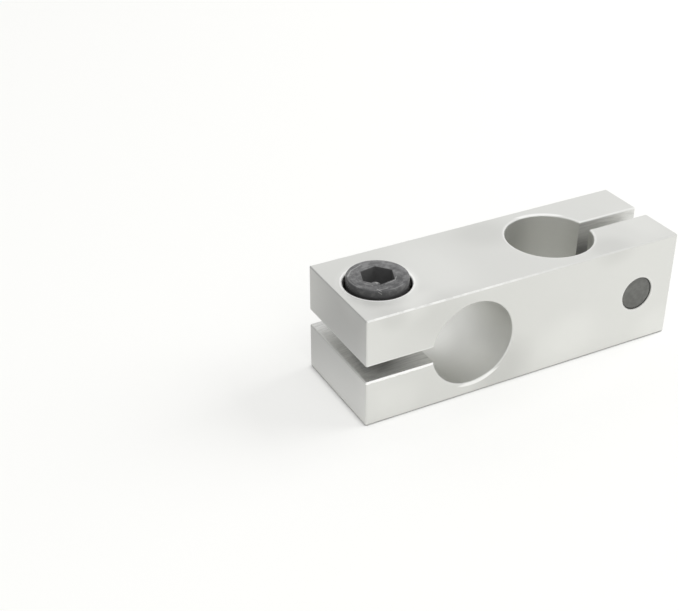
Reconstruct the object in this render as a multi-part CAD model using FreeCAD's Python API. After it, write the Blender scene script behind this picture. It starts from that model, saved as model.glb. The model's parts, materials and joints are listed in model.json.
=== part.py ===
import FreeCAD, Part
import math
import os

# A square block grips two round shafts that cross at right angles, one at each end.
# X runs along the block and Z is up. The origin is the middle of the base face. Sizes are in millimetres.

# Shaft bores
bore_diameter = 15.0
bore_wall = 2.25  # thinnest metal on either side of a bore
bore_web = 5.8  # metal between the two bores
slit_width = 2.8  # saw cut from each bore to its own end

# Clamping screws, M6 with a socket head
screw_diameter = 6.0
tip_chamfer = 0.2
tip_recess = 0.15  # tip below the face it points at
head_diameter = 10.2
head_height = 6.0
head_proud = 1.2  # head above the face it enters
head_edge_round = 0.3
socket_flats = 5.0  # hexagon socket, across flats
socket_depth = 3.0
socket_point_angle = 120.0  # drill point under the hexagon
socket_turns = {"top_clamp_screw": 9.5, "rear_clamp_screw": 24.0}  # degrees about each screw's axis

# Seats of the screws
head_clearance = 0.5  # radial, head in its counterbore
shank_clearance = 0.3  # radial, shank in the jaw under its head
thread_clearance = 0.05  # radial, plain shank in its tapped hole
tap_lead_in = 0.12  # countersink round the tapped hole's mouth
screw_web = 1.55  # metal between a bore and the hole beside it
end_wall = 1.65  # metal between a counterbore and the end of the block

edge_break = 0.25  # chamfer on every outside edge of the block

# Sizes that follow
bore_radius = bore_diameter / 2
section = bore_diameter + 2 * bore_wall
half_section = section / 2
bore_place = (bore_diameter + bore_web) / 2
shank_hole_radius = screw_diameter / 2 + shank_clearance
tapped_radius = screw_diameter / 2 + thread_clearance
counterbore_radius = head_diameter / 2 + head_clearance
counterbore_depth = head_height - head_proud
screw_place = bore_place + bore_radius + screw_web + shank_hole_radius
half_length = screw_place + counterbore_radius + end_wall
screw_length = section - counterbore_depth - tip_recess
overcut = 1.0  # how far a cutting tool runs past the face it enters

up = FreeCAD.Vector(0, 0, 1)
screw_axis_foot = FreeCAD.Vector(-screw_place, 0, 0)
lift = FreeCAD.Vector(0, 0, half_section)


def turned_over(shape):
    # The two ends of the block are the same: a half turn about this slanted axis swaps them
    other = shape.copy()
    other.rotate(FreeCAD.Vector(0, 0, 0), FreeCAD.Vector(0, 1, 1), 180)
    return other


def screw_hole(radius, low, high):
    foot = screw_axis_foot + FreeCAD.Vector(0, 0, low)
    return Part.makeCylinder(radius, high - low, foot, up)


def end_cuts():
    # Tools for the -X end: shaft bore along Y, flat slit, and the stepped hole for the screw along Z
    bore_start = FreeCAD.Vector(-bore_place, -half_section - overcut, 0)
    bore = Part.makeCylinder(bore_radius, section + 2 * overcut, bore_start, FreeCAD.Vector(0, 1, 0))

    slit_corner = FreeCAD.Vector(-half_length - overcut, -half_section - overcut, -slit_width / 2)
    slit_reach = half_length + overcut - bore_place
    slit = Part.makeBox(slit_reach, section + 2 * overcut, slit_width, slit_corner)

    counterbore = screw_hole(counterbore_radius, half_section - counterbore_depth, half_section + overcut)
    shank_hole = screw_hole(shank_hole_radius, 0, half_section)
    tapped_hole = screw_hole(tapped_radius, -half_section - overcut, 0)
    mouth = screw_axis_foot - FreeCAD.Vector(0, 0, half_section)
    tap_mouth = Part.makeCone(tapped_radius + tap_lead_in, tapped_radius, tap_lead_in, mouth, up)
    return [bore, slit, counterbore, shank_hole, tapped_hole, tap_mouth]


def on_outside(point):
    gaps = (abs(point.x) - half_length, abs(point.y) - half_section, abs(point.z) - half_section)
    return any(abs(gap) < 1e-6 for gap in gaps)


def is_tap_mouth(edge):
    if not isinstance(edge.Curve, Part.Circle):
        return False
    return abs(edge.Curve.Radius - tapped_radius - tap_lead_in) < 1e-6


def outside_edges(solid):
    # Every edge where a cut or a side meets the outside of the block, apart from the countersunk mouths
    chosen = []
    for edge in solid.Edges:
        middle = edge.valueAt((edge.FirstParameter + edge.LastParameter) / 2)
        ends = [vertex.Point for vertex in edge.Vertexes]
        if all(on_outside(point) for point in [middle] + ends) and not is_tap_mouth(edge):
            chosen.append(edge)
    return chosen


def clamp_block():
    corner = FreeCAD.Vector(-half_length, -half_section, -half_section)
    blank = Part.makeBox(2 * half_length, section, section, corner)
    cuts = end_cuts()
    cuts += [turned_over(cut) for cut in cuts]
    block = blank.cut(cuts).removeSplitter()
    return block.makeChamfer(edge_break, outside_edges(block))


def clamp_screw(socket_turn):
    # Turned about Z with the underside of its head at Z = 0, then socketed
    shank_radius = screw_diameter / 2
    head_radius = head_diameter / 2
    flat_radius = head_radius - head_edge_round
    round_start = head_height - head_edge_round
    round_middle = FreeCAD.Vector(
        flat_radius + head_edge_round * math.sin(math.pi / 4),
        0,
        round_start + head_edge_round * math.cos(math.pi / 4),
    )
    below = [
        FreeCAD.Vector(0, 0, head_height),
        FreeCAD.Vector(0, 0, -screw_length),
        FreeCAD.Vector(shank_radius - tip_chamfer, 0, -screw_length),
        FreeCAD.Vector(shank_radius, 0, -screw_length + tip_chamfer),
        FreeCAD.Vector(shank_radius, 0, 0),
        FreeCAD.Vector(head_radius, 0, 0),
        FreeCAD.Vector(head_radius, 0, round_start),
    ]
    flat_edge = FreeCAD.Vector(flat_radius, 0, head_height)
    edges = [Part.LineSegment(a, b).toShape() for a, b in zip(below, below[1:])]
    edges.append(Part.Arc(below[-1], round_middle, flat_edge).toShape())
    edges.append(Part.LineSegment(flat_edge, below[0]).toShape())
    turned = Part.Face(Part.Wire(edges)).revolve(FreeCAD.Vector(0, 0, 0), up, 360)
    return turned.cut(socket_cuts(socket_turn))


def socket_cuts(socket_turn):
    corner_radius = socket_flats / 2 / math.cos(math.pi / 6)
    floor = head_height - socket_depth
    angles = [math.radians(socket_turn + 60 * side) for side in range(6)]
    ring = [FreeCAD.Vector(corner_radius * math.cos(a), corner_radius * math.sin(a), floor) for a in angles]
    hexagon = Part.Face(Part.makePolygon(ring + ring[:1])).extrude(up * (socket_depth + overcut))
    point_depth = socket_flats / 2 / math.tan(math.radians(socket_point_angle / 2))
    drill_point = Part.makeCone(0, socket_flats / 2, point_depth, up * (floor - point_depth), up)
    return [hexagon, drill_point]


def seated(screw):
    # The head stands on the floor of its counterbore
    placed = screw.copy()
    placed.translate(screw_axis_foot + up * (half_section - counterbore_depth))
    return placed


parts = {
    "clamp_block": clamp_block(),
    "top_clamp_screw": seated(clamp_screw(socket_turns["top_clamp_screw"])),
    "rear_clamp_screw": turned_over(seated(clamp_screw(socket_turns["rear_clamp_screw"]))),
}

os.makedirs("parts", exist_ok=True)
for name, shape in parts.items():
    shape.translate(lift)
    shape.exportStep(f"parts/{name}.step")
    box = shape.BoundBox
    print(name, shape.isValid(), len(shape.Solids), "volume", round(shape.Volume, 2))
    print("  X", round(box.XMin, 3), round(box.XMax, 3), "Y", round(box.YMin, 3), round(box.YMax, 3))
    print("  Z", round(box.ZMin, 3), round(box.ZMax, 3))
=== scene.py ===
import bmesh
import bpy
import json
import math
from mathutils import Matrix, Vector


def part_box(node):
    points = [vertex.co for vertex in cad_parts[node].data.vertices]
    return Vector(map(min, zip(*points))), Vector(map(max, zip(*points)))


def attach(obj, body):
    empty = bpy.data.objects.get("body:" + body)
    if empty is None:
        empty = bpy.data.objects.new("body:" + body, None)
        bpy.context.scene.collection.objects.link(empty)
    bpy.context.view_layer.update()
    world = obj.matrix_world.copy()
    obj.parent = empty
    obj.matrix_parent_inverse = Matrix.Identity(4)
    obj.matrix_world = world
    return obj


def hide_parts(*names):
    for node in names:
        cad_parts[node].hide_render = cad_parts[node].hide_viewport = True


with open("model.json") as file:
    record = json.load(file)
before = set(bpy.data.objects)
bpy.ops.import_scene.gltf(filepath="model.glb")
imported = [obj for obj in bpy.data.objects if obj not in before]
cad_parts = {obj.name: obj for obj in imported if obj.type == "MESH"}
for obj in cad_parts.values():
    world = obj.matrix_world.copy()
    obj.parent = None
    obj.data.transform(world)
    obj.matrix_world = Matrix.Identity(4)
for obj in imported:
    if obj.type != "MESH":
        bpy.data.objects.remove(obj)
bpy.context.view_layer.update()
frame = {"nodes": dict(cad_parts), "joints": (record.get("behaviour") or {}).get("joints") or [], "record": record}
print("frame loaded:", ", ".join(sorted(frame["nodes"])))

mm = 0.001
overcut = 1 * mm  # how far a cutter runs past the face it enters
weld = 0.0005 * mm  # points closer than this are one point
ringSlack = 0.02 * mm  # how far a point on a ring may be from its radius
smoothAngle = 40  # degrees, sharper edges stay sharp
spotCore = 0.2  # share of a soft spot's reach that has its full tone
pureWhite = (1, 1, 1, 1)
mounts = {mount["name"]: mount for mount in frame["record"]["mounts"]}
hinges = {joint["name"]: joint for joint in frame["joints"]}
blockLow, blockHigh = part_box("clamp_block")
screwLow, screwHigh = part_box("top_clamp_screw")
blockMiddle = (blockLow + blockHigh) / 2
screwAxis = Vector(hinges["top_screw_turn"]["pos_m"])
halfTurn = Matrix.Rotation(math.pi, 4, Vector((0, 1, 1)))  # swaps the two ends of the block
turnedOver = Matrix.Translation(blockMiddle) @ halfTurn @ Matrix.Translation(-blockMiddle)


# Working in object and edit mode

def pickOnly(piece):
    if bpy.context.mode != "OBJECT":
        bpy.ops.object.mode_set(mode="OBJECT")
    bpy.ops.object.select_all(action="DESELECT")
    piece.select_set(True)
    bpy.context.view_layer.objects.active = piece


def openMesh(piece, elements):
    pickOnly(piece)
    bpy.ops.object.mode_set(mode="EDIT")
    bpy.ops.mesh.select_mode(type=elements)
    bpy.ops.mesh.select_all(action="DESELECT")
    return bmesh.from_edit_mesh(piece.data)


def pickVerts(piece, wanted):
    mesh = openMesh(piece, "VERT")
    for vert in mesh.verts:
        vert.select_set(wanted(vert.co))
    mesh.select_flush_mode()
    bmesh.update_edit_mesh(piece.data)


def pickEdges(piece, wanted):
    mesh = openMesh(piece, "EDGE")
    for edge in mesh.edges:
        edge.select_set(wanted(edge))
    mesh.select_flush_mode()
    bmesh.update_edit_mesh(piece.data)


def closeMesh():
    bpy.ops.object.mode_set(mode="OBJECT")


def paintFaces(piece, slot, wanted):  # the wanted faces take another of the piece's finishes
    mesh = openMesh(piece, "FACE")
    for face in mesh.faces:
        face.select_set(wanted(face))
    mesh.select_flush_mode()
    bmesh.update_edit_mesh(piece.data)
    piece.active_material_index = slot
    bpy.ops.object.material_slot_assign()
    closeMesh()


def tidyShell(piece):  # merge doubles, then turn every face outwards
    openMesh(piece, "VERT")
    bpy.ops.mesh.select_all(action="SELECT")
    bpy.ops.mesh.remove_doubles(threshold=weld)
    bpy.ops.mesh.normals_make_consistent(inside=False)
    closeMesh()


def drawWire(name, points):  # a chain of edges, extruded point by point from one vertex
    if bpy.context.mode != "OBJECT":
        closeMesh()
    bpy.ops.object.select_all(action="DESELECT")
    bpy.ops.mesh.primitive_circle_add(vertices=3, radius=mm, location=(0, 0, 0))
    wire = bpy.context.active_object
    wire.name = name
    bpy.ops.object.mode_set(mode="EDIT")
    bpy.ops.mesh.select_mode(type="VERT")
    bpy.ops.mesh.select_all(action="SELECT")
    bpy.ops.mesh.merge(type="CENTER")
    bpy.ops.transform.translate(value=points[0])
    for here, there in zip(points, points[1:]):
        bpy.ops.mesh.extrude_region_move(TRANSFORM_OT_translate={"value": there - here})
    return wire


def latheUp(name, outline, steps):  # outline is (radius, height) from the axis round to the axis
    wire = drawWire(name, [Vector((radius, 0, height)) for radius, height in outline])
    bpy.ops.mesh.select_all(action="SELECT")
    bpy.ops.mesh.spin(steps=steps, angle=2 * math.pi, center=(0, 0, 0), axis=(0, 0, 1))
    tidyShell(wire)
    return wire


def movePiece(piece, matrix):
    pickOnly(piece)
    piece.matrix_world = matrix @ piece.matrix_world
    bpy.ops.object.transform_apply(location=True, rotation=True, scale=True)


def copyPiece(piece, name):  # the copy has its own mesh
    pickOnly(piece)
    bpy.ops.object.duplicate(linked=False)
    copied = bpy.context.active_object
    copied.name = name
    copied.data.name = name
    return copied


def applyModifiers(piece):
    pickOnly(piece)
    for modifier in list(piece.modifiers):
        bpy.ops.object.modifier_apply(modifier=modifier.name)


def combine(piece, other, operation):
    pickOnly(piece)
    change = piece.modifiers.new("change", "BOOLEAN")
    change.operation = operation
    change.solver = "EXACT"
    change.material_mode = "TRANSFER"
    change.object = other
    applyModifiers(piece)
    bpy.data.objects.remove(other)


def cutAway(piece, cutter):
    combine(piece, cutter, "DIFFERENCE")


def smoothPiece(piece):  # rounded edges shade softly and the flats stay flat
    pickOnly(piece)
    bpy.ops.object.shade_smooth_by_angle(angle=math.radians(smoothAngle))
    flats = piece.modifiers.new("flats", "WEIGHTED_NORMAL")
    flats.mode = "FACE_AREA"
    flats.weight = 100
    flats.keep_sharp = True
    applyModifiers(piece)


# Shader boards

class Lead:  # one socket, so that sums on values are written as plain expressions
    def __init__(self, board, socket):
        self.board = board
        self.socket = socket

    def work(self, operation, first, second):
        return self.board.add("ShaderNodeMath", {"operation": operation}, {0: first, 1: second})

    def __add__(self, other):
        return self.work("ADD", self, other)

    def __sub__(self, other):
        return self.work("SUBTRACT", self, other)

    def __rsub__(self, other):
        return self.work("SUBTRACT", other, self)

    def __mul__(self, other):
        return self.work("MULTIPLY", self, other)

    __radd__ = __add__
    __rmul__ = __mul__


class Board:  # the nodes of one finish
    def __init__(self, tree):
        self.tree = tree
        self.tree.nodes.clear()

    def add(self, kind, settings=None, values=None, output=0):
        node = self.tree.nodes.new(kind)
        for key, setting in (settings or {}).items():
            setattr(node, key, setting)
        for key, value in (values or {}).items():
            if isinstance(value, Lead):
                self.tree.links.new(value.socket, node.inputs[key])
            else:
                node.inputs[key].default_value = value
        return Lead(self, node.outputs[output]) if len(node.outputs) else node

    def vector(self, operation, first, second, output=0):
        return self.add("ShaderNodeVectorMath", {"operation": operation}, {0: first, 1: second}, output)

    def dot(self, first, second):
        return self.vector("DOT_PRODUCT", first, second, output="Value")

    def place(self, matrix):  # object coordinates carried into another frame
        where = self.add("ShaderNodeTexCoord", output="Object")
        values = {"Vector": where, "Location": matrix.translation, "Rotation": matrix.to_euler()}
        return self.add("ShaderNodeMapping", {}, values)

    def part(self, where, axis):
        return self.add("ShaderNodeSeparateXYZ", {}, {0: where}, output=axis)

    def away(self, where, centre, across):  # distance from a line; across is 1 on the axes that count
        arm = self.vector("SUBTRACT", where, centre)
        return self.vector("LENGTH", self.vector("MULTIPLY", arm, across), (0, 0, 0), output="Value")

    def fade(self, value, one, none):  # 1 at one, falling smoothly to 0 at none
        values = {"Value": value, "From Min": one, "From Max": none, "To Min": 1.0, "To Max": 0.0}
        return self.add("ShaderNodeMapRange", {"interpolation_type": "SMOOTHSTEP"}, values)

    def rise(self, value, none, one):  # 0 at none, rising smoothly to 1 at one
        return 1 - self.fade(value, none, one)

    def above(self, value, limit):  # 1 where the value is over the limit, else 0
        return self.add("ShaderNodeMath", {"operation": "GREATER_THAN"}, {0: value, 1: limit})

    def patches(self, where, spots):  # soft spots, each a centre, a reach on every axis and a tone
        total = 0
        for centre, reach, tone in spots:
            arm = self.vector("DIVIDE", self.vector("SUBTRACT", where, centre), reach)
            share = self.vector("LENGTH", arm, (0, 0, 0), output="Value")
            total = self.fade(share, spotCore, 1) * tone + total
        return total

    def mix(self, factor, first, second):  # 6, 7 and 2 are the node's colour sockets
        return self.add("ShaderNodeMix", {"data_type": "RGBA"}, {0: factor, 6: first, 7: second}, output=2)

    def noise(self, where, scale, detail=2.0, roughness=0.5):
        values = {"Vector": where, "Scale": scale, "Detail": detail, "Roughness": roughness}
        return self.add("ShaderNodeTexNoise", {}, values)

    def streaks(self, where, scales, detail=3.0):  # noise drawn out along one direction
        return self.noise(self.vector("MULTIPLY", where, scales), 1.0, detail=detail, roughness=0.6)

    def bump(self, height, strength, distance):
        values = {"Height": height, "Strength": strength, "Distance": distance}
        return self.add("ShaderNodeBump", {}, values)

    def shownRays(self):  # 1 on rays from the camera, in reflections and through openings
        kinds = ("Is Camera Ray", "Is Glossy Ray", "Is Transmission Ray")
        seen, mirrored, through = [self.add("ShaderNodeLightPath", output=kind) for kind in kinds]
        return seen + mirrored + through


def newFinish(name):
    material = bpy.data.materials.new(name)
    material.use_nodes = True
    return material, Board(material.node_tree)


def closeFinish(board, values):
    surface = board.add("ShaderNodeBsdfPrincipled", {}, values)
    board.add("ShaderNodeOutputMaterial", {}, {"Surface": surface})


# Block: a milled bar with two crossing shaft bores, each slit to its own end and stepped for its screw

block = {
    "slitWidth": 2.8 * mm,
    "headClearance": 0.5 * mm,
    "counterboreDepth": 4.8 * mm,
    "shankHoleRadius": 3.3 * mm,
    "tappedRadius": 3.05 * mm,
    "tapLeadIn": 0.12 * mm,
    "filedBreak": 0.28 * mm,  # the level slit's lower front edge, broken most
    "edgeBreak": 0.26 * mm,
    "edgeSteps": 3,
    "leastAngle": 30,  # degrees, flatter edges aren't broken
    "levelNormal": 0.9,  # least part along Z of a slit wall's normal
    "boreSteps": 124,
    "holeSteps": 96,
}
levelBore = mounts["level_bore"]
boreRadius = levelBore["dims"]["r_mm"] * mm
boreMiddle = Vector(levelBore["pos_m"])
headRadius = (screwHigh.x - screwLow.x) / 2
counterboreRadius = headRadius + block["headClearance"]
counterboreFloor = blockHigh.z - block["counterboreDepth"]

satin = {
    "pale": (0.91, 0.912, 0.885, 1),
    "deep": (0.6, 0.602, 0.58, 1),
    # the painted highlight colour of rims, lips and the filed edge
    "rim": (0.99, 0.99, 0.975, 1),
    # painted shade along the block's foot and its bottom edges
    "paintedShade": (0.32, 0.32, 0.31, 1),
    "baseTone": 0.32,  # tones run from 0, deep, to 1, pale
    "cloudTone": 0.12,
    "mottleTone": 0.07,
    "leanTone": 0.09,
    "endTone": 0.07,
    "roughness": 0.47,
    "mottleRough": 0.08,
    "cloudRough": 0.04,
    "bump": (0.12, 0.015 * mm),  # strength and depth, as in every finish here
    "cloudScale": 70.0,  # per metre, as all scales here
    "mottleScale": 900.0,
    "grainScale": 7000.0,  # bead-blast pits
    "millStreaks": (200.0, 60.0, 2600.0),  # faint cutter lines across the end faces
    "rimStart": 0.13 * mm,  # the painted highlight rims start this far outside a hole
    "rimWidth": 0.15 * mm,  # full up to here and gone at the fade
    "rimFade": 0.4 * mm,
    "crescentFade": 0.64 * mm,
    "tipRing": 0.15,  # strength of the painted highlight rim round a screw's tip
    "headRimFade": 0.5 * mm,
    "mattReach": 1.6 * mm,  # skin made matt round the screws' heads, which lifts the painted highlight there
    "mattShare": 0.68,
    "seatLean": 0.5,  # how much weaker the seat's painted highlight rim is towards the bore
    "lipWidth": 0.1 * mm,  # painted highlight line over a slit
    "lipFade": 0.26 * mm,
    "shadeHeight": 0.12 * mm,  # painted shade line along the foot
    "shadeFade": 0.42 * mm,
    "leastShade": 0.3,
    "crescentSpan": (0.93, 1.01),  # bore radii from the axis, from none to full
    "levelRims": {"towards": (0.2, 0, -1), "crescent": 0.85, "ring": 0.04, "lip": 0.6},  # strengths
    "uprightRims": {"towards": (-0.38, 0, 1), "crescent": 0.6, "ring": 0.3, "lip": 0.5},
    "burrScale": 750.0,  # the filed edge's ragged burr, drawn as a painted highlight
    "burrMiddle": 0.38,
    "burrReach": 0.55 * mm,
    "burrFade": 0.12 * mm,
    "patches": (  # soft spots, partly cloudy anodising and partly painted light and shade
        ((-16 * mm, blockLow.y, 17.5 * mm), (9 * mm, 4 * mm, 7 * mm), -0.13),
        ((-4.5 * mm, blockLow.y, 3.2 * mm), (8 * mm, 4 * mm, 8 * mm), -0.3),
        ((-24 * mm, blockLow.y, 3.5 * mm), (6 * mm, 4 * mm, 5 * mm), 0.12),
        ((-29 * mm, blockLow.y, 10 * mm), (7 * mm, 4 * mm, 14 * mm), 0.1),
        ((9 * mm, blockLow.y, 5 * mm), (9 * mm, 4 * mm, 7 * mm), 0.13),
        ((28 * mm, blockLow.y, 1.5 * mm), (7 * mm, 4 * mm, 6 * mm), 0.12),
        ((-13 * mm, 0, blockHigh.z), (9 * mm, 14 * mm, 4 * mm), 0.12),
        ((1 * mm, 6 * mm, blockHigh.z), (8 * mm, 7 * mm, 4 * mm), -0.18),
        ((17 * mm, -8 * mm, blockHigh.z), (6 * mm, 5 * mm, 4 * mm), -0.2),
        ((-22 * mm, -7.5 * mm, blockHigh.z), (7 * mm, 4 * mm, 4 * mm), 0.25),
        ((-29 * mm, -4 * mm, blockHigh.z), (3 * mm, 5 * mm, 4 * mm), 0.16),
        ((-25 * mm, -9.5 * mm, blockHigh.z), (4 * mm, 3 * mm, 4 * mm), -0.2),
        ((27 * mm, -3 * mm, blockHigh.z), (5 * mm, 8 * mm, 4 * mm), 0.1),
    ),
}


def brightRims(board, local, rims):  # painted highlights round the mouths of one end's holes and over its slit
    upper = board.above(board.part(local, 2), blockMiddle.z)
    arm = board.vector("SUBTRACT", local, boreMiddle)
    bore = board.away(local, boreMiddle, (1, 0, 1)) - (boreRadius + satin["rimStart"])
    ring = board.fade(bore, satin["rimWidth"], satin["rimFade"])
    reach = board.dot(arm, rims["towards"])
    crescent = board.rise(reach, *[boreRadius * share for share in satin["crescentSpan"]])
    crescent = crescent * board.fade(bore, satin["rimFade"], satin["crescentFade"])
    hole = board.away(local, screwAxis, (1, 1, 0))
    tip = hole - (block["tappedRadius"] + block["tapLeadIn"])
    tip = board.fade(tip, satin["rimWidth"], satin["rimFade"]) * (1 - upper)
    head = hole - (counterboreRadius + satin["rimStart"])
    seat = board.fade(head, satin["rimWidth"], satin["headRimFade"]) * upper
    inner = board.rise(board.part(local, 0), screwAxis.x - headRadius, screwAxis.x + headRadius)
    seat = seat * (1 - inner * satin["seatLean"])
    lip = board.part(arm, 2) - (block["slitWidth"] / 2 + satin["rimStart"])
    lip = board.fade(lip, satin["lipWidth"], satin["lipFade"]) * upper
    lip = lip * (1 - board.above(board.part(arm, 0), -boreRadius))
    burnished = crescent * rims["crescent"] + ring * rims["ring"] + lip * rims["lip"]
    return burnished + seat + tip * satin["tipRing"]


def bothRims(board, where):
    level = brightRims(board, where, satin["levelRims"])
    return level + brightRims(board, board.place(turnedOver), satin["uprightRims"])


def mattSeats(board, where):  # how matt the skin is round the two heads' seats, a painted light that brightens them
    paintedLight = 0
    for local in (where, board.place(turnedOver)):
        gap = board.away(local, screwAxis, (1, 1, 0)) - counterboreRadius
        upper = board.above(board.part(local, 2), blockMiddle.z)
        paintedLight = board.fade(gap, 0, satin["mattReach"]) * upper + paintedLight
    return paintedLight * satin["mattShare"]


def filedBurrHighlight(board, where):  # a ragged painted highlight along the level slit's filed lower front edge
    ragged = board.noise(where, satin["burrScale"], detail=3.0, roughness=0.6) - satin["burrMiddle"]
    drop = (boreMiddle.z - block["slitWidth"] / 2 - block["filedBreak"]) - board.part(where, 2)
    band = board.fade(drop - ragged * satin["burrReach"], 0, satin["burrFade"])
    lower = board.above(drop, -block["slitWidth"] / 2)
    right = board.above(board.part(where, 0), boreMiddle.x)
    behind = board.above(board.part(where, 1), blockLow.y + block["filedBreak"])
    return band * lower * (1 - right) * (1 - behind)


def satinAluminium():
    material, board = newFinish("satinAluminium")
    where = board.place(Matrix())
    clouds = board.noise(where, satin["cloudScale"], detail=3.0)
    mottle = board.noise(where, satin["mottleScale"], detail=3.0, roughness=0.6)
    grain = board.noise(where, satin["grainScale"], roughness=0.6)
    facing = board.add("ShaderNodeTexCoord", output="Normal")
    onEnd = board.part(board.vector("ABSOLUTE", facing, (0, 0, 0)), 0)
    milled = board.streaks(where, satin["millStreaks"]) * onEnd
    rims = bothRims(board, where) + filedBurrHighlight(board, where)
    lean = board.fade(board.part(where, 0), blockHigh.x, blockLow.x)  # painted light: a little paler to the right
    # painted shade: the end faces darker towards their foot
    upper = board.rise(board.part(where, 2), blockLow.z, blockMiddle.z)
    tone = clouds * satin["cloudTone"] + mottle * satin["mottleTone"] + lean * satin["leanTone"]
    tone = tone + (upper + milled - 0.5) * onEnd * satin["endTone"] + satin["baseTone"]
    tone = tone + board.patches(where, satin["patches"])
    colour = board.mix(rims, board.mix(tone, satin["deep"], satin["pale"]), satin["rim"])
    # painted shade: the foot darkened over its lowest fraction of a millimetre, broken up by the mottle
    height = board.part(where, 2) - blockLow.z
    foot = board.fade(height, satin["shadeHeight"], satin["shadeFade"])
    colour = board.mix(foot * (mottle + satin["leastShade"]), colour, satin["paintedShade"])
    closeFinish(board, {
        "Base Color": colour,
        "Metallic": 1 - mattSeats(board, where),
        "Roughness": mottle * satin["mottleRough"] + clouds * satin["cloudRough"] + satin["roughness"],
        "Normal": board.bump(grain + milled, *satin["bump"]),
    })
    return material


broken = {
    # painted highlight colour
    "bright": (0.96, 0.962, 0.94, 1),
    "dull": (0.72, 0.722, 0.7, 1),
    # painted shade for the left end's rear edges
    "dusky": (0.6, 0.602, 0.586, 1),
    "roughness": 0.5,
    "filedRoughness": 0.22,
    "nickRough": 0.12,
    "nickScale": 420.0,
    "nickSpan": (0.25, 0.6),
    "bump": (0.15, 0.02 * mm),
    "leastBright": 0.2,  # least painted highlight of the top edges, at the right
    # painted shade along the bottom edges reaches this high
    "shadeHeight": 0.4 * mm,
    "edgeSpan": (0.13 * mm, 0.3 * mm),  # an edge's own tone ends over these depths
}


def brokenEdge():  # the small rounds on the block's edges, with painted highlights along the top edges and round the holes, and painted shade along the foot and at the left end's rear
    material, board = newFinish("brokenEdge")
    where = board.place(Matrix())
    # the nicks roughen the edges and break up their painted highlight
    nicks = board.noise(where, broken["nickScale"], detail=4.0, roughness=0.7)
    nicks = board.rise(nicks, *broken["nickSpan"])
    # painted shade along the bottom edges
    low = board.fade(board.part(where, 2), blockLow.z, blockLow.z + broken["shadeHeight"])
    share = board.fade(board.part(where, 0), boreMiddle.x, -boreMiddle.x)
    share = share * (1 - broken["leastBright"]) + broken["leastBright"]
    top = board.fade(blockHigh.z - board.part(where, 2), *broken["edgeSpan"])
    rims = bothRims(board, where)
    paintedLight = board.mix(nicks * share * top + rims, broken["dull"], broken["bright"])
    # the left end's edges keep the dull tone, with painted shade towards the rear
    left = board.fade(board.part(where, 0) - blockLow.x, *broken["edgeSpan"])
    beside = board.away(where, blockMiddle, (0, 0, 1)) - block["slitWidth"] / 2
    rear = board.rise(board.part(where, 1), blockMiddle.y, blockHigh.y)
    rear = rear * board.rise(beside, *broken["edgeSpan"])
    paintedLight = board.mix(left, paintedLight, board.mix(rear, broken["dull"], broken["dusky"]))
    filed = filedBurrHighlight(board, where)
    rough = (nicks - 0.5) * broken["nickRough"] + broken["roughness"]
    closeFinish(board, {
        "Base Color": board.mix(filed, board.mix(low, paintedLight, satin["paintedShade"]), satin["rim"]),
        "Metallic": 1 - mattSeats(board, where),
        "Roughness": rough + filed * (broken["filedRoughness"] - broken["roughness"]),
        "Normal": board.bump(nicks, *broken["bump"]),
    })
    return material


bored = {
    "pale": (0.85, 0.852, 0.822, 1),
    "deep": (0.55, 0.552, 0.53, 1),
    "lineTone": 0.11,
    "cloudTone": 0.11,
    "roughness": 0.42,
    "lineRough": 0.1,
    "bump": (0.1, 0.02 * mm),
    "lineScale": 2400.0,  # fine rings left by the boring tool
    "driftScale": 110.0,
    "cloudScale": 140.0,
    "lifts": {"boredAlongY": 0.5, "boredAlongZ": 0.69},  # base tones, set apart for the two bores as painted light and shade
    # painted light and shade inside the bores
    "patches": (
        ((-3.2 * mm, -2.5 * mm, 8.3 * mm), (4.5 * mm, 8.5 * mm, 6 * mm), -0.2),
        ((-6.5 * mm, -5.5 * mm, 3.4 * mm), (5 * mm, 6 * mm, 3 * mm), 0.13),
        ((17.6 * mm, -2.6 * mm, 15 * mm), (2.2 * mm, 2.4 * mm, 9 * mm), -0.65),
        ((-9 * mm, 4 * mm, 2.3 * mm), (6 * mm, 6 * mm, 3 * mm), 0.24),
    ),
}


def boredAluminium(name, axis):
    material, board = newFinish(name)
    where = board.place(Matrix())
    scales = [bored["driftScale"]] * 3
    scales[axis] = bored["lineScale"]
    lines = board.streaks(where, scales)
    clouds = board.noise(where, bored["cloudScale"])
    tone = lines * bored["lineTone"] + clouds * bored["cloudTone"] + bored["lifts"][name]
    tone = tone + board.patches(where, bored["patches"])
    closeFinish(board, {
        "Base Color": board.mix(tone, bored["deep"], bored["pale"]),
        "Metallic": 1.0,
        "Roughness": lines * bored["lineRough"] + bored["roughness"],
        "Normal": board.bump(lines, *bored["bump"]),
    })
    return material


sawn = {
    "pale": (1.0, 1.0, 0.975, 1),
    "deep": (0.5, 0.502, 0.488, 1),
    "levelTones": (0.88, 0.3, -0.46),  # painted light and shade: tones at the front, at the rear and added beside the bore
    # the upright slit's tones, the same saw finish lit differently, as painted light
    "uprightTones": (0.47, 0.47, 0.16),
    "lineTone": 0.3,
    "lineSpan": (0.32, 0.68),
    "roughness": 0.36,
    "lineRough": 0.2,
    "bump": (0.2, 0.03 * mm),
    "scales": (130.0, 3000.0, 3000.0),  # saw lines run along the block
    "bow": 9.0,  # the lines are arcs of the saw's rim
    "bowMiddle": -20.0 * mm,
}


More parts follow.
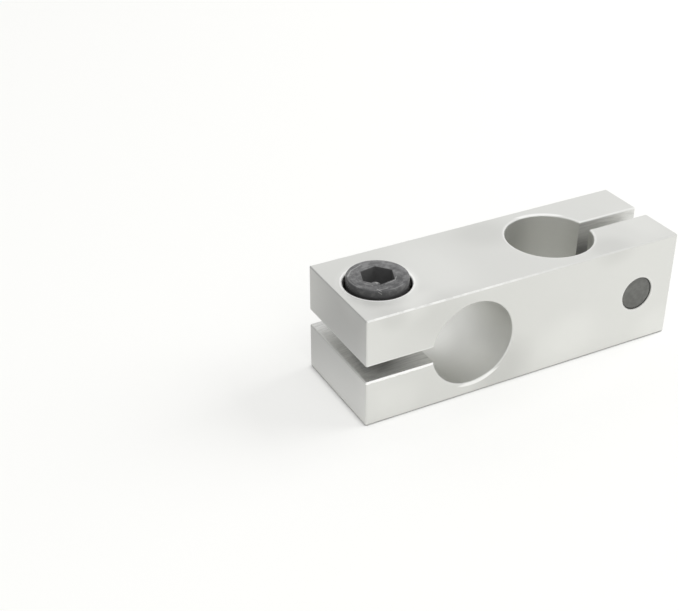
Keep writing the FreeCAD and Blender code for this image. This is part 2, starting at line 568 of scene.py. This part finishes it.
def sawnAluminium(name, turn, tones):
    material, board = newFinish(name)
    where = board.place(turn)
    atFront, atRear, atBore = tones
    along = board.part(where, 0) - sawn["bowMiddle"]
    bow = along * along * sawn["bow"]
    shift = board.add("ShaderNodeCombineXYZ", {}, {1: bow, 2: bow})
    lines = board.streaks(board.vector("ADD", where, shift), sawn["scales"], detail=4.0)
    # painted shade: tones change towards the rear of the slit and beside the bore
    rear = board.rise(board.part(where, 1), blockLow.y, blockHigh.y)
    nearBore = board.fade(board.part(where, 0), boreMiddle.x - boreRadius, blockLow.x)
    tone = rear * (atRear - atFront) + nearBore * atBore + atFront
    tone = tone + (board.rise(lines, *sawn["lineSpan"]) - 0.5) * sawn["lineTone"]
    closeFinish(board, {
        "Base Color": board.mix(tone, sawn["deep"], sawn["pale"]),
        "Metallic": 1.0,
        "Roughness": lines * sawn["lineRough"] + sawn["roughness"],
        "Normal": board.bump(lines, *sawn["bump"]),
    })
    return material


# painted shade for the tapped holes' mouths
mouthShade = {
    "pale": (0.8, 0.8, 0.775, 1),
    "dark": (0.55, 0.55, 0.53, 1),
    "roughness": 0.4,
    "mouthMottleRough": 0.2,
    "bump": (0.1, 0.02 * mm),
    "scale": 900.0,
}


def mouthShadeAluminium():  # the countersunk mouths of the tapped holes, darker as painted shade
    material, board = newFinish("mouthShadeAluminium")
    mouthMottle = board.noise(board.place(Matrix()), mouthShade["scale"], detail=3.0)
    closeFinish(board, {
        "Base Color": board.mix(mouthMottle, mouthShade["dark"], mouthShade["pale"]),
        "Metallic": 1.0,
        "Roughness": mouthMottle * mouthShade["mouthMottleRough"] + mouthShade["roughness"],
        "Normal": board.bump(mouthMottle, *mouthShade["bump"]),
    })
    return material


def keyholeCutter(boredFinish, sawnFinish):  # shaft bore along Y and its slit to the -X end, as one outline
    halfSlit = block["slitWidth"] / 2
    joinReach = math.sqrt(boreRadius ** 2 - halfSlit ** 2)
    front = blockLow.y - overcut
    start = Vector((boreMiddle.x - joinReach, front, boreMiddle.z + halfSlit))
    keyhole = drawWire("keyholeCutter", [start])
    bpy.ops.mesh.select_all(action="SELECT")
    sweep = 2 * math.pi - 2 * math.asin(halfSlit / boreRadius)
    centre = (boreMiddle.x, front, boreMiddle.z)
    bpy.ops.mesh.spin(steps=block["boreSteps"], angle=-sweep, center=centre, axis=(0, 1, 0))
    pickVerts(keyhole, lambda co: co.x < start.x + weld and abs(co.z - boreMiddle.z) < halfSlit + weld)
    slitReach = start.x - blockLow.x + overcut
    bpy.ops.mesh.extrude_region_move(TRANSFORM_OT_translate={"value": (-slitReach, 0, 0)})
    bpy.ops.mesh.edge_face_add()
    bpy.ops.mesh.select_all(action="SELECT")
    bpy.ops.mesh.edge_face_add()
    depth = blockHigh.y - blockLow.y + 2 * overcut
    bpy.ops.mesh.extrude_region_move(TRANSFORM_OT_translate={"value": (0, depth, 0)})
    tidyShell(keyhole)
    keyhole.data.materials.append(boredFinish)
    keyhole.data.materials.append(sawnFinish)

    def isSlitWall(face):
        return face.calc_center_median().x < start.x and abs(face.normal.z) > block["levelNormal"]

    paintFaces(keyhole, 1, isSlitWall)
    return keyhole


def steppedHoleCutter(boredFinish, mouthShadeFinish):  # counterbore, shank hole and tapped hole along Z
    low = blockLow.z - overcut
    high = blockHigh.z + overcut
    mouth = block["tappedRadius"] + block["tapLeadIn"] + overcut
    outline = [
        (0, low),
        (mouth, low),
        (block["tappedRadius"], blockLow.z + block["tapLeadIn"]),
        (block["tappedRadius"], blockMiddle.z),
        (block["shankHoleRadius"], blockMiddle.z),
        (block["shankHoleRadius"], counterboreFloor),
        (counterboreRadius, counterboreFloor),
        (counterboreRadius, high),
        (0, high),
    ]
    hole = latheUp("steppedHoleCutter", outline, block["holeSteps"])
    hole.data.materials.append(boredFinish)
    hole.data.materials.append(mouthShadeFinish)
    paintFaces(hole, 1, lambda face: face.calc_center_median().z < blockLow.z + block["tapLeadIn"])
    movePiece(hole, Matrix.Translation((screwAxis.x, screwAxis.y, 0)))
    return hole


def sidesOf(co):  # which of the bar's six sides a point lies on
    sides = set()
    for axis in range(3):
        for bound in (blockLow, blockHigh):
            if abs(co[axis] - bound[axis]) < weld:
                sides.add((axis, bound[axis]))
    return sides


def isTapMouth(co):  # whether a point is on the countersunk mouth of either tapped hole
    for local in (co, turnedOver @ co):
        away = math.hypot(local.x - screwAxis.x, local.y - screwAxis.y)
        onMouth = abs(away - block["tappedRadius"] - block["tapLeadIn"]) < ringSlack
        if onMouth and abs(local.z - blockLow.z) < weld:
            return True
    return False


def breakOf(edge):  # how far an edge is broken, or zero inside the block
    ends = [vert.co for vert in edge.verts]
    shared = sidesOf(ends[0]) & sidesOf(ends[1])
    if not shared or isTapMouth(ends[0]) or edge.calc_face_angle(0) < math.radians(block["leastAngle"]):
        return 0
    slitFloor = boreMiddle.z - block["slitWidth"] / 2
    onFloor = all(abs(co.z - slitFloor) < weld for co in ends)
    if onFloor and (1, blockLow.y) in shared and ends[0].x < boreMiddle.x:
        return block["filedBreak"]
    return block["edgeBreak"]


def breakEdges(piece, finish):
    for width in (block["filedBreak"], block["edgeBreak"]):
        pickEdges(piece, lambda edge: breakOf(edge) == width)
        bpy.ops.transform.edge_bevelweight(value=width / block["filedBreak"])
    closeMesh()
    piece.data.materials.append(finish)
    rounds = piece.modifiers.new("rounds", "BEVEL")
    rounds.limit_method = "WEIGHT"
    rounds.width = block["filedBreak"]
    rounds.segments = block["edgeSteps"]
    rounds.use_clamp_overlap = False
    rounds.material = len(piece.data.materials) - 1
    applyModifiers(piece)


def makeBlock():
    bpy.ops.object.select_all(action="DESELECT")
    bpy.ops.mesh.primitive_cube_add(size=1, location=blockMiddle, scale=blockHigh - blockLow)
    piece = bpy.context.active_object
    piece.name = "anodised_block"
    piece.data.name = "anodised_block"
    bpy.ops.object.transform_apply(location=True, rotation=True, scale=True)
    piece.data.materials.append(satinAluminium())
    alongY = boredAluminium("boredAlongY", 1)
    alongZ = boredAluminium("boredAlongZ", 2)
    level = sawnAluminium("sawnLevel", Matrix(), sawn["levelTones"])
    upright = sawnAluminium("sawnUpright", turnedOver, sawn["uprightTones"])
    shadedMouth = mouthShadeAluminium()
    keyhole = keyholeCutter(alongY, level)
    steppedHole = steppedHoleCutter(alongZ, shadedMouth)
    for cutter, farFinishes in ((keyhole, (alongZ, upright)), (steppedHole, (alongY, shadedMouth))):
        farCutter = copyPiece(cutter, cutter.name + "Far")
        movePiece(farCutter, turnedOver)
        for slot, finish in enumerate(farFinishes):
            farCutter.data.materials[slot] = finish
        cutAway(piece, cutter)
        cutAway(piece, farCutter)
    tidyShell(piece)
    breakEdges(piece, brokenEdge())
    smoothPiece(piece)
    return piece


anodisedBlock = makeBlock()
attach(anodisedBlock, "block")
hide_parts("clamp_block")
print("block:", len(anodisedBlock.data.polygons), "faces")


# Screws: M6 socket-head cap screws with a cut thread

screw = {
    "shankRadius": 2.97 * mm,
    "tipChamfer": 0.2 * mm,
    "headEdge": 0.3 * mm,
    "headEdgeSteps": 5,
    "footEdge": 0.2 * mm,
    "seatGap": 0.02 * mm,  # so that the head turns on its seat without touching
    "socketFlats": 5.0 * mm,
    "socketDepth": 3.0 * mm,
    "socketEdge": 0.1 * mm,
    "socketEdgeSteps": 2,
    "socketAngle": 60,  # degrees, least fold at the socket's mouth
    "burrPlace": (-1.32 * mm, -1.9 * mm),  # on the top screw alone
    "burrReach": (0.7 * mm, 0.46 * mm, 0.15 * mm),
    "burrBelow": 0.03 * mm,
    "burrSide": 219.5,  # degrees round to the side of the socket that it leans over
    "burrSteps": 24,
    "drillPointAngle": 120.0,
    "topSocketTurn": 9.5,  # degrees about the screw's axis
    "rearSocketTurn": 24.0,
    "pitch": 1.0 * mm,
    "threadDepth": 0.58 * mm,
    "rootWidth": 0.25 * mm,
    "flankAngle": 30,
    "grooveOverlap": 0.05 * mm,  # the cutter stands this far out of the shank
    "plainNeck": 1.0 * mm,  # without thread, under the head
    "turnSteps": 96,
    "pointSteps": 48,
    "threadSteps": 48,
}
headHeight = screwHigh.z - counterboreFloor
shankLength = counterboreFloor - screwLow.z
socketCorner = screw["socketFlats"] / 2 / math.cos(math.pi / 6)
seated = Matrix.Translation((screwAxis.x, screwAxis.y, counterboreFloor))
extraTurn = math.radians(screw["rearSocketTurn"] - screw["topSocketTurn"])
seatedFar = turnedOver @ seated @ Matrix.Rotation(extraTurn, 4, "Z")

oxide = {
    "dark": (0.07, 0.07, 0.071, 1),
    "worn": (0.19, 0.19, 0.19, 1),
    "bareAndGlint": (0.34, 0.34, 0.335, 1),
    "sideWorn": (0.13, 0.13, 0.13, 1),
    "recess": (0.06, 0.06, 0.06, 1),  # painted shade where the head enters its seat
    "recessFade": 0.2 * mm,
    "tip": (0.126, 0.128, 0.115, 1),
    # the tip's chamfer, its bare metal made paler as a painted highlight
    "tipEdge": (0.5, 0.5, 0.48, 1),
    "tipShare": 0.7,
    "lean": (26.0, 62.0, 0.0),  # painted light: the oxide grows paler and glossier towards the back and right of the head, per metre
    "blotchWear": 0.6,
    "arcWear": 0.25,
    "wearSpan": (0.4, 0.62),
    "smudgeWear": 0.15,
    "smudgeSpan": (0.38, 0.62),
    "flankWear": 0.8,
    "flankSpan": (0.45, 0.65),
    "rimBare": 0.35,
    "rimSpan": (0.4, 0.6),
    "markLoss": 0.5,  # how far a rub mark is broken up
    "markSpan": (0.3, 0.6),
    "roughness": 0.51,
    "wearShine": 0.12,
    "metallic": 0.25,
    "bump": (0.25, 0.05 * mm),
    "blotchScale": 950.0,
    "smudgeScale": 240.0,
    "arcScales": (2300.0, 260.0),  # turning lines, across and along
    "rubbedRim": 0.12 * mm,
}
topMarks = (  # rubs left by the key, and painted highlights along the socket's near edges: start, end and half width in mm; ends are x, y and depth
    ((-2.14, -3.75, 0), (-1.87, -4.6, 0), 0.16),
    ((-1.9, -4.14, 0), (-0.45, -4.2, 0), 0.13),
    ((-2.35, -4.5, 0.1), (-1.9, -4.73, 0.45), 0.12),
    ((-1.15, -1.7, 0), (-1.3, -2.2, 0), 0.33),
    ((-3.1, -1.3, 0), (-2.2, -2.4, 0), 0.13),
    ((-0.2, -2.95, 0), (1.75, -2.55, 0), 0.13),
    ((1.75, -2.55, 0), (2.5, -1.6, 0), 0.13),
    ((-4.3, 1.9, 0), (-3.1, 3.2, 0), 0.2),
    ((-3.1, 3.2, 0), (-0.9, 4.1, 0), 0.16),
)
rearMarks = (
    ((3.1, 1.2, 0), (4.2, 2.1, 0), 0.08),
    ((-3.6, 0.4, 0), (-4.3, -0.7, 0), 0.08),
)


def rubAndGlintLine(board, local, mark):
    *ends, halfWidth = mark
    start, end = [Vector((x * mm, y * mm, headHeight - depth * mm)) for x, y, depth in ends]
    along = end - start
    arm = board.vector("SUBTRACT", local, start)
    share = board.dot(arm, along) * (1 / along.length_squared)
    held = board.add("ShaderNodeClamp", {}, {"Value": share})
    nearest = board.add("ShaderNodeVectorMath", {"operation": "SCALE"}, {0: along, "Scale": held})
    return board.fade(board.vector("DISTANCE", arm, nearest, output="Value"), 0, halfWidth * mm)


def blackOxide(name, placed, marks):
    material, board = newFinish(name)
    local = board.place(placed.inverted())
    radius = board.away(local, (0, 0, 0), (1, 1, 0))
    across, along = oxide["arcScales"]
    turning = board.vector("MULTIPLY", local, (along, along, along))
    turning = board.vector("ADD", turning, board.add("ShaderNodeCombineXYZ", {}, {2: radius * across}))
    arcs = board.noise(turning, 1.0, detail=3.0, roughness=0.6)
    blotches = board.noise(local, oxide["blotchScale"], detail=4.0, roughness=0.65)
    smudges = board.noise(local, oxide["smudgeScale"])
    wearAndPaintedLight = board.rise(blotches, *oxide["wearSpan"]) * oxide["blotchWear"]
    wearAndPaintedLight = wearAndPaintedLight + board.rise(arcs, *oxide["wearSpan"]) * oxide["arcWear"]
    wearAndPaintedLight = wearAndPaintedLight + board.rise(smudges, *oxide["smudgeSpan"]) * oxide["smudgeWear"]
    # painted light: paler towards the back and right of the head
    wearAndPaintedLight = wearAndPaintedLight + board.dot(local, oxide["lean"])
    flatRadius = headRadius - screw["headEdge"]
    rim = board.add("ShaderNodeMath", {"operation": "ABSOLUTE"}, {0: radius - flatRadius})
    bareAndGlint = board.rise(smudges, *oxide["rimSpan"]) * oxide["rimBare"]
    bareAndGlint = board.fade(rim, 0, oxide["rubbedRim"]) * bareAndGlint
    kept = 1 - board.fade(blotches, *oxide["markSpan"]) * oxide["markLoss"]
    # the marks include painted highlights along the socket's near edges
    for mark in marks:
        bareAndGlint = bareAndGlint + rubAndGlintLine(board, local, mark) * kept
    flank = board.rise(blotches, *oxide["flankSpan"]) * oxide["flankWear"]
    flank = board.mix(flank, oxide["dark"], oxide["sideWorn"])
    # painted shade on the head's side below the block's top face
    proud = board.part(local, 2) - block["counterboreDepth"]
    flank = board.mix(board.fade(proud, 0, oxide["recessFade"]), flank, oxide["recess"])
    side = board.rise(radius, flatRadius, headRadius - screw["headEdge"] / 2)
    shell = board.mix(side, board.mix(wearAndPaintedLight, oxide["dark"], oxide["worn"]), flank)
    nearTip = board.fade(board.part(local, 2), -shankLength, -shankLength + screw["tipChamfer"])
    shell = board.mix(nearTip * oxide["tipShare"], shell, oxide["tip"])
    tipFlat = screw["shankRadius"] - screw["tipChamfer"]
    # painted highlight on the tip's chamfer
    tipEdge = nearTip * board.rise(radius, tipFlat, screw["shankRadius"])
    closeFinish(board, {
        "Base Color": board.mix(tipEdge, board.mix(bareAndGlint, shell, oxide["bareAndGlint"]), oxide["tipEdge"]),
        "Metallic": oxide["metallic"],
        "Roughness": oxide["roughness"] - wearAndPaintedLight * oxide["wearShine"],
        "Normal": board.bump(blotches, *oxide["bump"]),
    })
    return material


soot = {
    "dark": (0.072, 0.072, 0.072, 1),
    "pale": (0.105, 0.105, 0.105, 1),
    "roughness": 0.5,
    "dustRough": 0.2,
    "bump": (0.2, 0.03 * mm),
    "scale": 1400.0,
}


def sootyOxide():  # the socket's walls, dull and dusty
    material, board = newFinish("sootyOxide")
    dust = board.noise(board.place(Matrix()), soot["scale"], detail=3.0)
    closeFinish(board, {
        "Base Color": board.mix(dust, soot["dark"], soot["pale"]),
        "Metallic": 0.0,
        "Roughness": dust * soot["dustRough"] + soot["roughness"],
        "Normal": board.bump(dust, *soot["bump"]),
    })
    return material


def isHeadRim(co):
    return abs(co.z - headHeight) < weld and abs(math.hypot(co.x, co.y) - headRadius) < ringSlack


def isSocketMouth(edge):
    inside = all(math.hypot(*vert.co.xy) < socketCorner + weld for vert in edge.verts)
    onTop = all(abs(vert.co.z - headHeight) < weld for vert in edge.verts)
    return inside and onTop and edge.calc_face_angle(0) > math.radians(screw["socketAngle"])


def plainScrew():  # turned about Z with the underside of its head at zero
    shank = screw["shankRadius"]
    outline = [
        (0, -shankLength),
        (shank - screw["tipChamfer"], -shankLength),
        (shank, -shankLength + screw["tipChamfer"]),
        (shank, screw["seatGap"]),
        (headRadius - screw["footEdge"], screw["seatGap"]),
        (headRadius, screw["footEdge"]),
        (headRadius, headHeight),
        (0, headHeight),
    ]
    piece = latheUp("top_cap_screw", outline, screw["turnSteps"])
    pickEdges(piece, lambda edge: all(isHeadRim(vert.co) for vert in edge.verts))
    bpy.ops.mesh.bevel(
        offset=screw["headEdge"],
        segments=screw["headEdgeSteps"],
        affect="EDGES",
        clamp_overlap=False,
    )
    closeMesh()
    return piece


def socketCutter():
    floor = headHeight - screw["socketDepth"]
    top = headHeight + overcut
    bpy.ops.object.select_all(action="DESELECT")
    bpy.ops.mesh.primitive_cylinder_add(
        vertices=6,
        radius=socketCorner,
        depth=top - floor,
        location=(0, 0, (floor + top) / 2),
        rotation=(0, 0, math.radians(screw["topSocketTurn"] - 90)),  # a new cylinder has a corner on +Y
    )
    cutter = bpy.context.active_object
    cutter.name = "socketCutter"
    bpy.ops.object.transform_apply(location=True, rotation=True, scale=True)
    return cutter


def drillPointCutter():
    radius = screw["socketFlats"] / 2
    floor = headHeight - screw["socketDepth"]
    depth = radius / math.tan(math.radians(screw["drillPointAngle"] / 2))
    outline = [(0, floor - depth), (radius, floor), (radius, floor + depth), (0, floor + depth)]
    return latheUp("drillPointCutter", outline, screw["pointSteps"])


def threadCutter():  # one helical groove from the tip's chamfer to the neck
    root = screw["shankRadius"] - screw["threadDepth"]
    outer = screw["shankRadius"] + screw["grooveOverlap"]
    halfRoot = screw["rootWidth"] / 2
    halfMouth = halfRoot + (outer - root) * math.tan(math.radians(screw["flankAngle"]))
    low = halfMouth + screw["tipChamfer"] - shankLength
    corners = [(root, -halfRoot), (outer, -halfMouth), (outer, halfMouth), (root, halfRoot)]
    groove = drawWire("threadCutter", [Vector((radius, 0, low + height)) for radius, height in corners])
    bpy.ops.mesh.select_all(action="SELECT")
    bpy.ops.mesh.edge_face_add()
    bpy.ops.mesh.delete(type="ONLY_FACE")
    closeMesh()
    helix = groove.modifiers.new("helix", "SCREW")
    helix.axis = "Z"
    helix.angle = 2 * math.pi
    helix.screw_offset = screw["pitch"]
    helix.iterations = math.floor((-low - screw["plainNeck"]) / screw["pitch"])
    helix.steps = screw["threadSteps"]
    helix.render_steps = screw["threadSteps"]
    applyModifiers(groove)
    openMesh(groove, "EDGE")
    bpy.ops.mesh.select_non_manifold(
        extend=False,
        use_wire=False,
        use_multi_face=False,
        use_non_contiguous=False,
    )
    bpy.ops.mesh.edge_face_add()
    tidyShell(groove)
    return groove


def makeScrew(shell, lining):
    piece = plainScrew()
    piece.data.materials.append(shell)
    groove = threadCutter()
    groove.data.materials.append(shell)
    cutAway(piece, groove)
    for cutter in (socketCutter(), drillPointCutter()):
        cutter.data.materials.append(lining)
        cutAway(piece, cutter)
    tidyShell(piece)
    pickEdges(piece, isSocketMouth)
    bpy.ops.mesh.bevel(
        offset=screw["socketEdge"],
        segments=screw["socketEdgeSteps"],
        affect="EDGES",
        clamp_overlap=False,
        material=1,
    )
    closeMesh()
    smoothPiece(piece)
    return piece


def raiseBurr(piece):  # metal pushed over the socket's mouth by a slipping key
    height = headHeight - screw["burrBelow"] - screw["burrReach"][2]
    bpy.ops.object.select_all(action="DESELECT")
    bpy.ops.mesh.primitive_uv_sphere_add(
        segments=screw["burrSteps"],
        ring_count=screw["burrSteps"] // 2,
        radius=1,
        location=(*screw["burrPlace"], height),
        rotation=(0, 0, math.radians(screw["burrSide"] + 90)),  # long way along that side
        scale=screw["burrReach"],
    )
    lump = bpy.context.active_object
    bpy.ops.object.transform_apply(location=True, rotation=True, scale=True)
    lump.data.materials.append(piece.data.materials[0])
    combine(piece, lump, "UNION")
    tidyShell(piece)
    smoothPiece(piece)


topScrew = makeScrew(blackOxide("blackOxideTop", seated, topMarks), sootyOxide())
rearScrew = copyPiece(topScrew, "rear_cap_screw")
raiseBurr(topScrew)
rearScrew.data.materials[0] = blackOxide("blackOxideRear", seatedFar, rearMarks)
movePiece(topScrew, seated)
movePiece(rearScrew, seatedFar)
for piece, body, node in (
    (topScrew, "top_screw", "top_clamp_screw"),
    (rearScrew, "rear_screw", "rear_clamp_screw"),
):
    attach(piece, body)
    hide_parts(node)
    print(piece.name + ":", len(piece.data.polygons), "faces")


# Stage

stage = {
    "floorSize": 6.0,
    "floorDrop": 0.02 * mm,  # keeps the floor clear of the block's base
    "floorColour": (0.9, 0.9, 0.885, 1),
    "glowColour": (1, 1, 0.98, 1),
    "floorGlow": 0.56,
    "floorSpan": (0.25, 0.7),  # the paper runs out into white this far from the block
    "contactReach": 1.2 * mm,  # the floor darkens this close to the block
    "contactLevel": 0.4,
    "contactSamples": 8,
    "roomLevel": 0.3,
    "openingFrom": (-0.5, -0.72, 0.48),
    "openingSpan": (0.7, 0.97),  # cosines off its middle, from its edge to full shade
    "openingLevel": 0.78,
    "cardLevel": 0.38,
    "mattLevel": 0.8,
    "mattFall": 0.2,  # how much darker the flat part is towards the rear
    "cardFoot": ((-42.0 * mm, -7.0 * mm), (-42.0 * mm, 24.0 * mm)),
    "cardReach": 11.5 * mm,
    "cardHeight": 60 * mm,
    "cardFold": 1 * mm,
}


def makeFloor():
    bpy.ops.object.select_all(action="DESELECT")
    bpy.ops.mesh.primitive_plane_add(size=stage["floorSize"], location=(0, 0, -stage["floorDrop"]))
    floor = bpy.context.active_object
    floor.name = "floor"
    material, board = newFinish("paperFloor")
    paper = board.add("ShaderNodeBsdfDiffuse", {}, {"Color": stage["floorColour"]})
    glow = board.add("ShaderNodeEmission", {}, {"Color": stage["glowColour"], "Strength": 1.0})
    samples = {"samples": stage["contactSamples"]}
    reach = {"Distance": stage["contactReach"]}
    clear = board.add("ShaderNodeAmbientOcclusion", samples, reach, output="AO")
    distance = board.away(board.place(Matrix()), blockMiddle, (1, 1, 0))
    level = 1 - board.fade(distance, *stage["floorSpan"]) * (1 - stage["floorGlow"])
    share = board.shownRays() * level * board.fade(clear, 1, stage["contactLevel"])
    surface = board.add("ShaderNodeMixShader", {}, {0: share, 1: paper, 2: glow})
    board.add("ShaderNodeOutputMaterial", {}, {"Surface": surface})
    material.cycles.emission_sampling = "NONE"
    floor.data.materials.append(material)


def makeWorld():  # a white tent, with its opening in shade for reflections
    world = bpy.data.worlds.new("studio")
    bpy.context.scene.world = world
    world.use_nodes = True
    board = Board(world.node_tree)
    towards = board.add("ShaderNodeTexCoord", output="Generated")
    opening = Vector(stage["openingFrom"]).normalized()
    facing = board.dot(towards, opening)
    glossy = board.add("ShaderNodeLightPath", output="Is Glossy Ray")
    shade = board.rise(facing, *stage["openingSpan"]) * glossy
    level = 1 - shade * (1 - stage["openingLevel"])
    room = board.add("ShaderNodeBackground", {}, {"Color": pureWhite, "Strength": stage["roomLevel"]})
    tent = board.add("ShaderNodeBackground", {}, {"Color": pureWhite, "Strength": level})
    surface = board.add("ShaderNodeMixShader", {}, {0: board.shownRays(), 1: room, 2: tent})
    world.cycles.sampling_method = "NONE"  # so that reflections meet the white and not the room level
    board.add("ShaderNodeOutputWorld", {}, {"Surface": surface})


lamps = {
    "key": {"from": (-0.25, -0.55, 0.8), "distance": 0.8, "wide": 0.8, "high": 0.7, "power": 2.8},
    "right": {"from": (0.82, -0.12, 0.56), "distance": 0.9, "wide": 0.7, "high": 0.7, "power": 7.2},
    "back": {"from": (0.12, 0.78, 0.55), "distance": 0.9, "wide": 1.7, "high": 0.7, "power": 2.8},
    "front": {"from": (0.0, -0.88, 0.34), "distance": 0.9, "wide": 0.8, "high": 0.7, "power": 0.8},
}


def makeLamp(name, lamp):
    data = bpy.data.lights.new(name, "AREA")
    data.shape = "RECTANGLE"
    data.size = lamp["wide"]
    data.size_y = lamp["high"]
    data.energy = lamp["power"]
    light = bpy.data.objects.new(name, data)
    bpy.context.scene.collection.objects.link(light)
    towards = Vector(lamp["from"]).normalized()
    light.visible_glossy = False  # metal mirrors the white tent and no lamp
    light.location = blockMiddle + towards * lamp["distance"]
    light.rotation_euler = towards.to_track_quat("Z", "Y").to_euler()


def makeCard():  # a grey card beside the left end, which only reflections see
    left, right = stage["cardFoot"]
    wire = drawWire("greyCard", [Vector((*left, 0)), Vector((*right, 0))])
    bpy.ops.mesh.select_all(action="SELECT")
    bpy.ops.mesh.extrude_region_move(TRANSFORM_OT_translate={"value": (stage["cardReach"], 0, 0)})
    pickVerts(wire, lambda co: co.x < left[0] + weld)
    bpy.ops.mesh.extrude_region_move(TRANSFORM_OT_translate={"value": (0, 0, stage["cardHeight"])})
    closeMesh()
    material, board = newFinish("greyCard")
    where = board.place(Matrix())
    upright = board.rise(board.part(where, 2), 0, stage["cardFold"])
    level = upright * (stage["cardLevel"] - stage["mattLevel"]) + stage["mattLevel"]
    rear = board.rise(board.part(where, 1), blockMiddle.y, blockHigh.y + stage["cardReach"])
    level = level - rear * (1 - upright) * stage["mattFall"]
    grey = board.add("ShaderNodeEmission", {}, {"Color": pureWhite, "Strength": level})
    board.add("ShaderNodeOutputMaterial", {}, {"Surface": grey})
    material.cycles.emission_sampling = "NONE"
    wire.data.materials.append(material)
    wire.visible_camera = False
    wire.visible_diffuse = False
    wire.visible_shadow = False


makeFloor()
makeCard()
makeWorld()
for lampName, lampValues in lamps.items():
    makeLamp(lampName, lampValues)


# Camera

camera = {
    "place": (-105.853 * mm, -146.814 * mm, 118.377 * mm),
    "turn": (58.514, 0.141, -27.556),  # degrees
    "lens": 65.448,  # in mm, and the sensor too
    "sensor": 36.0,
    "clipStart": 1 * mm,
}
cameraTurn = [math.radians(angle) for angle in camera["turn"]]
bpy.ops.object.select_all(action="DESELECT")
bpy.ops.object.camera_add(location=camera["place"], rotation=cameraTurn)
viewer = bpy.context.active_object
viewer.data.lens = camera["lens"]
viewer.data.sensor_width = camera["sensor"]
viewer.data.clip_start = camera["clipStart"]
bpy.context.scene.camera = viewer
bpy.context.scene.view_settings.view_transform = "Standard"
print("stage, lamps and camera ready")
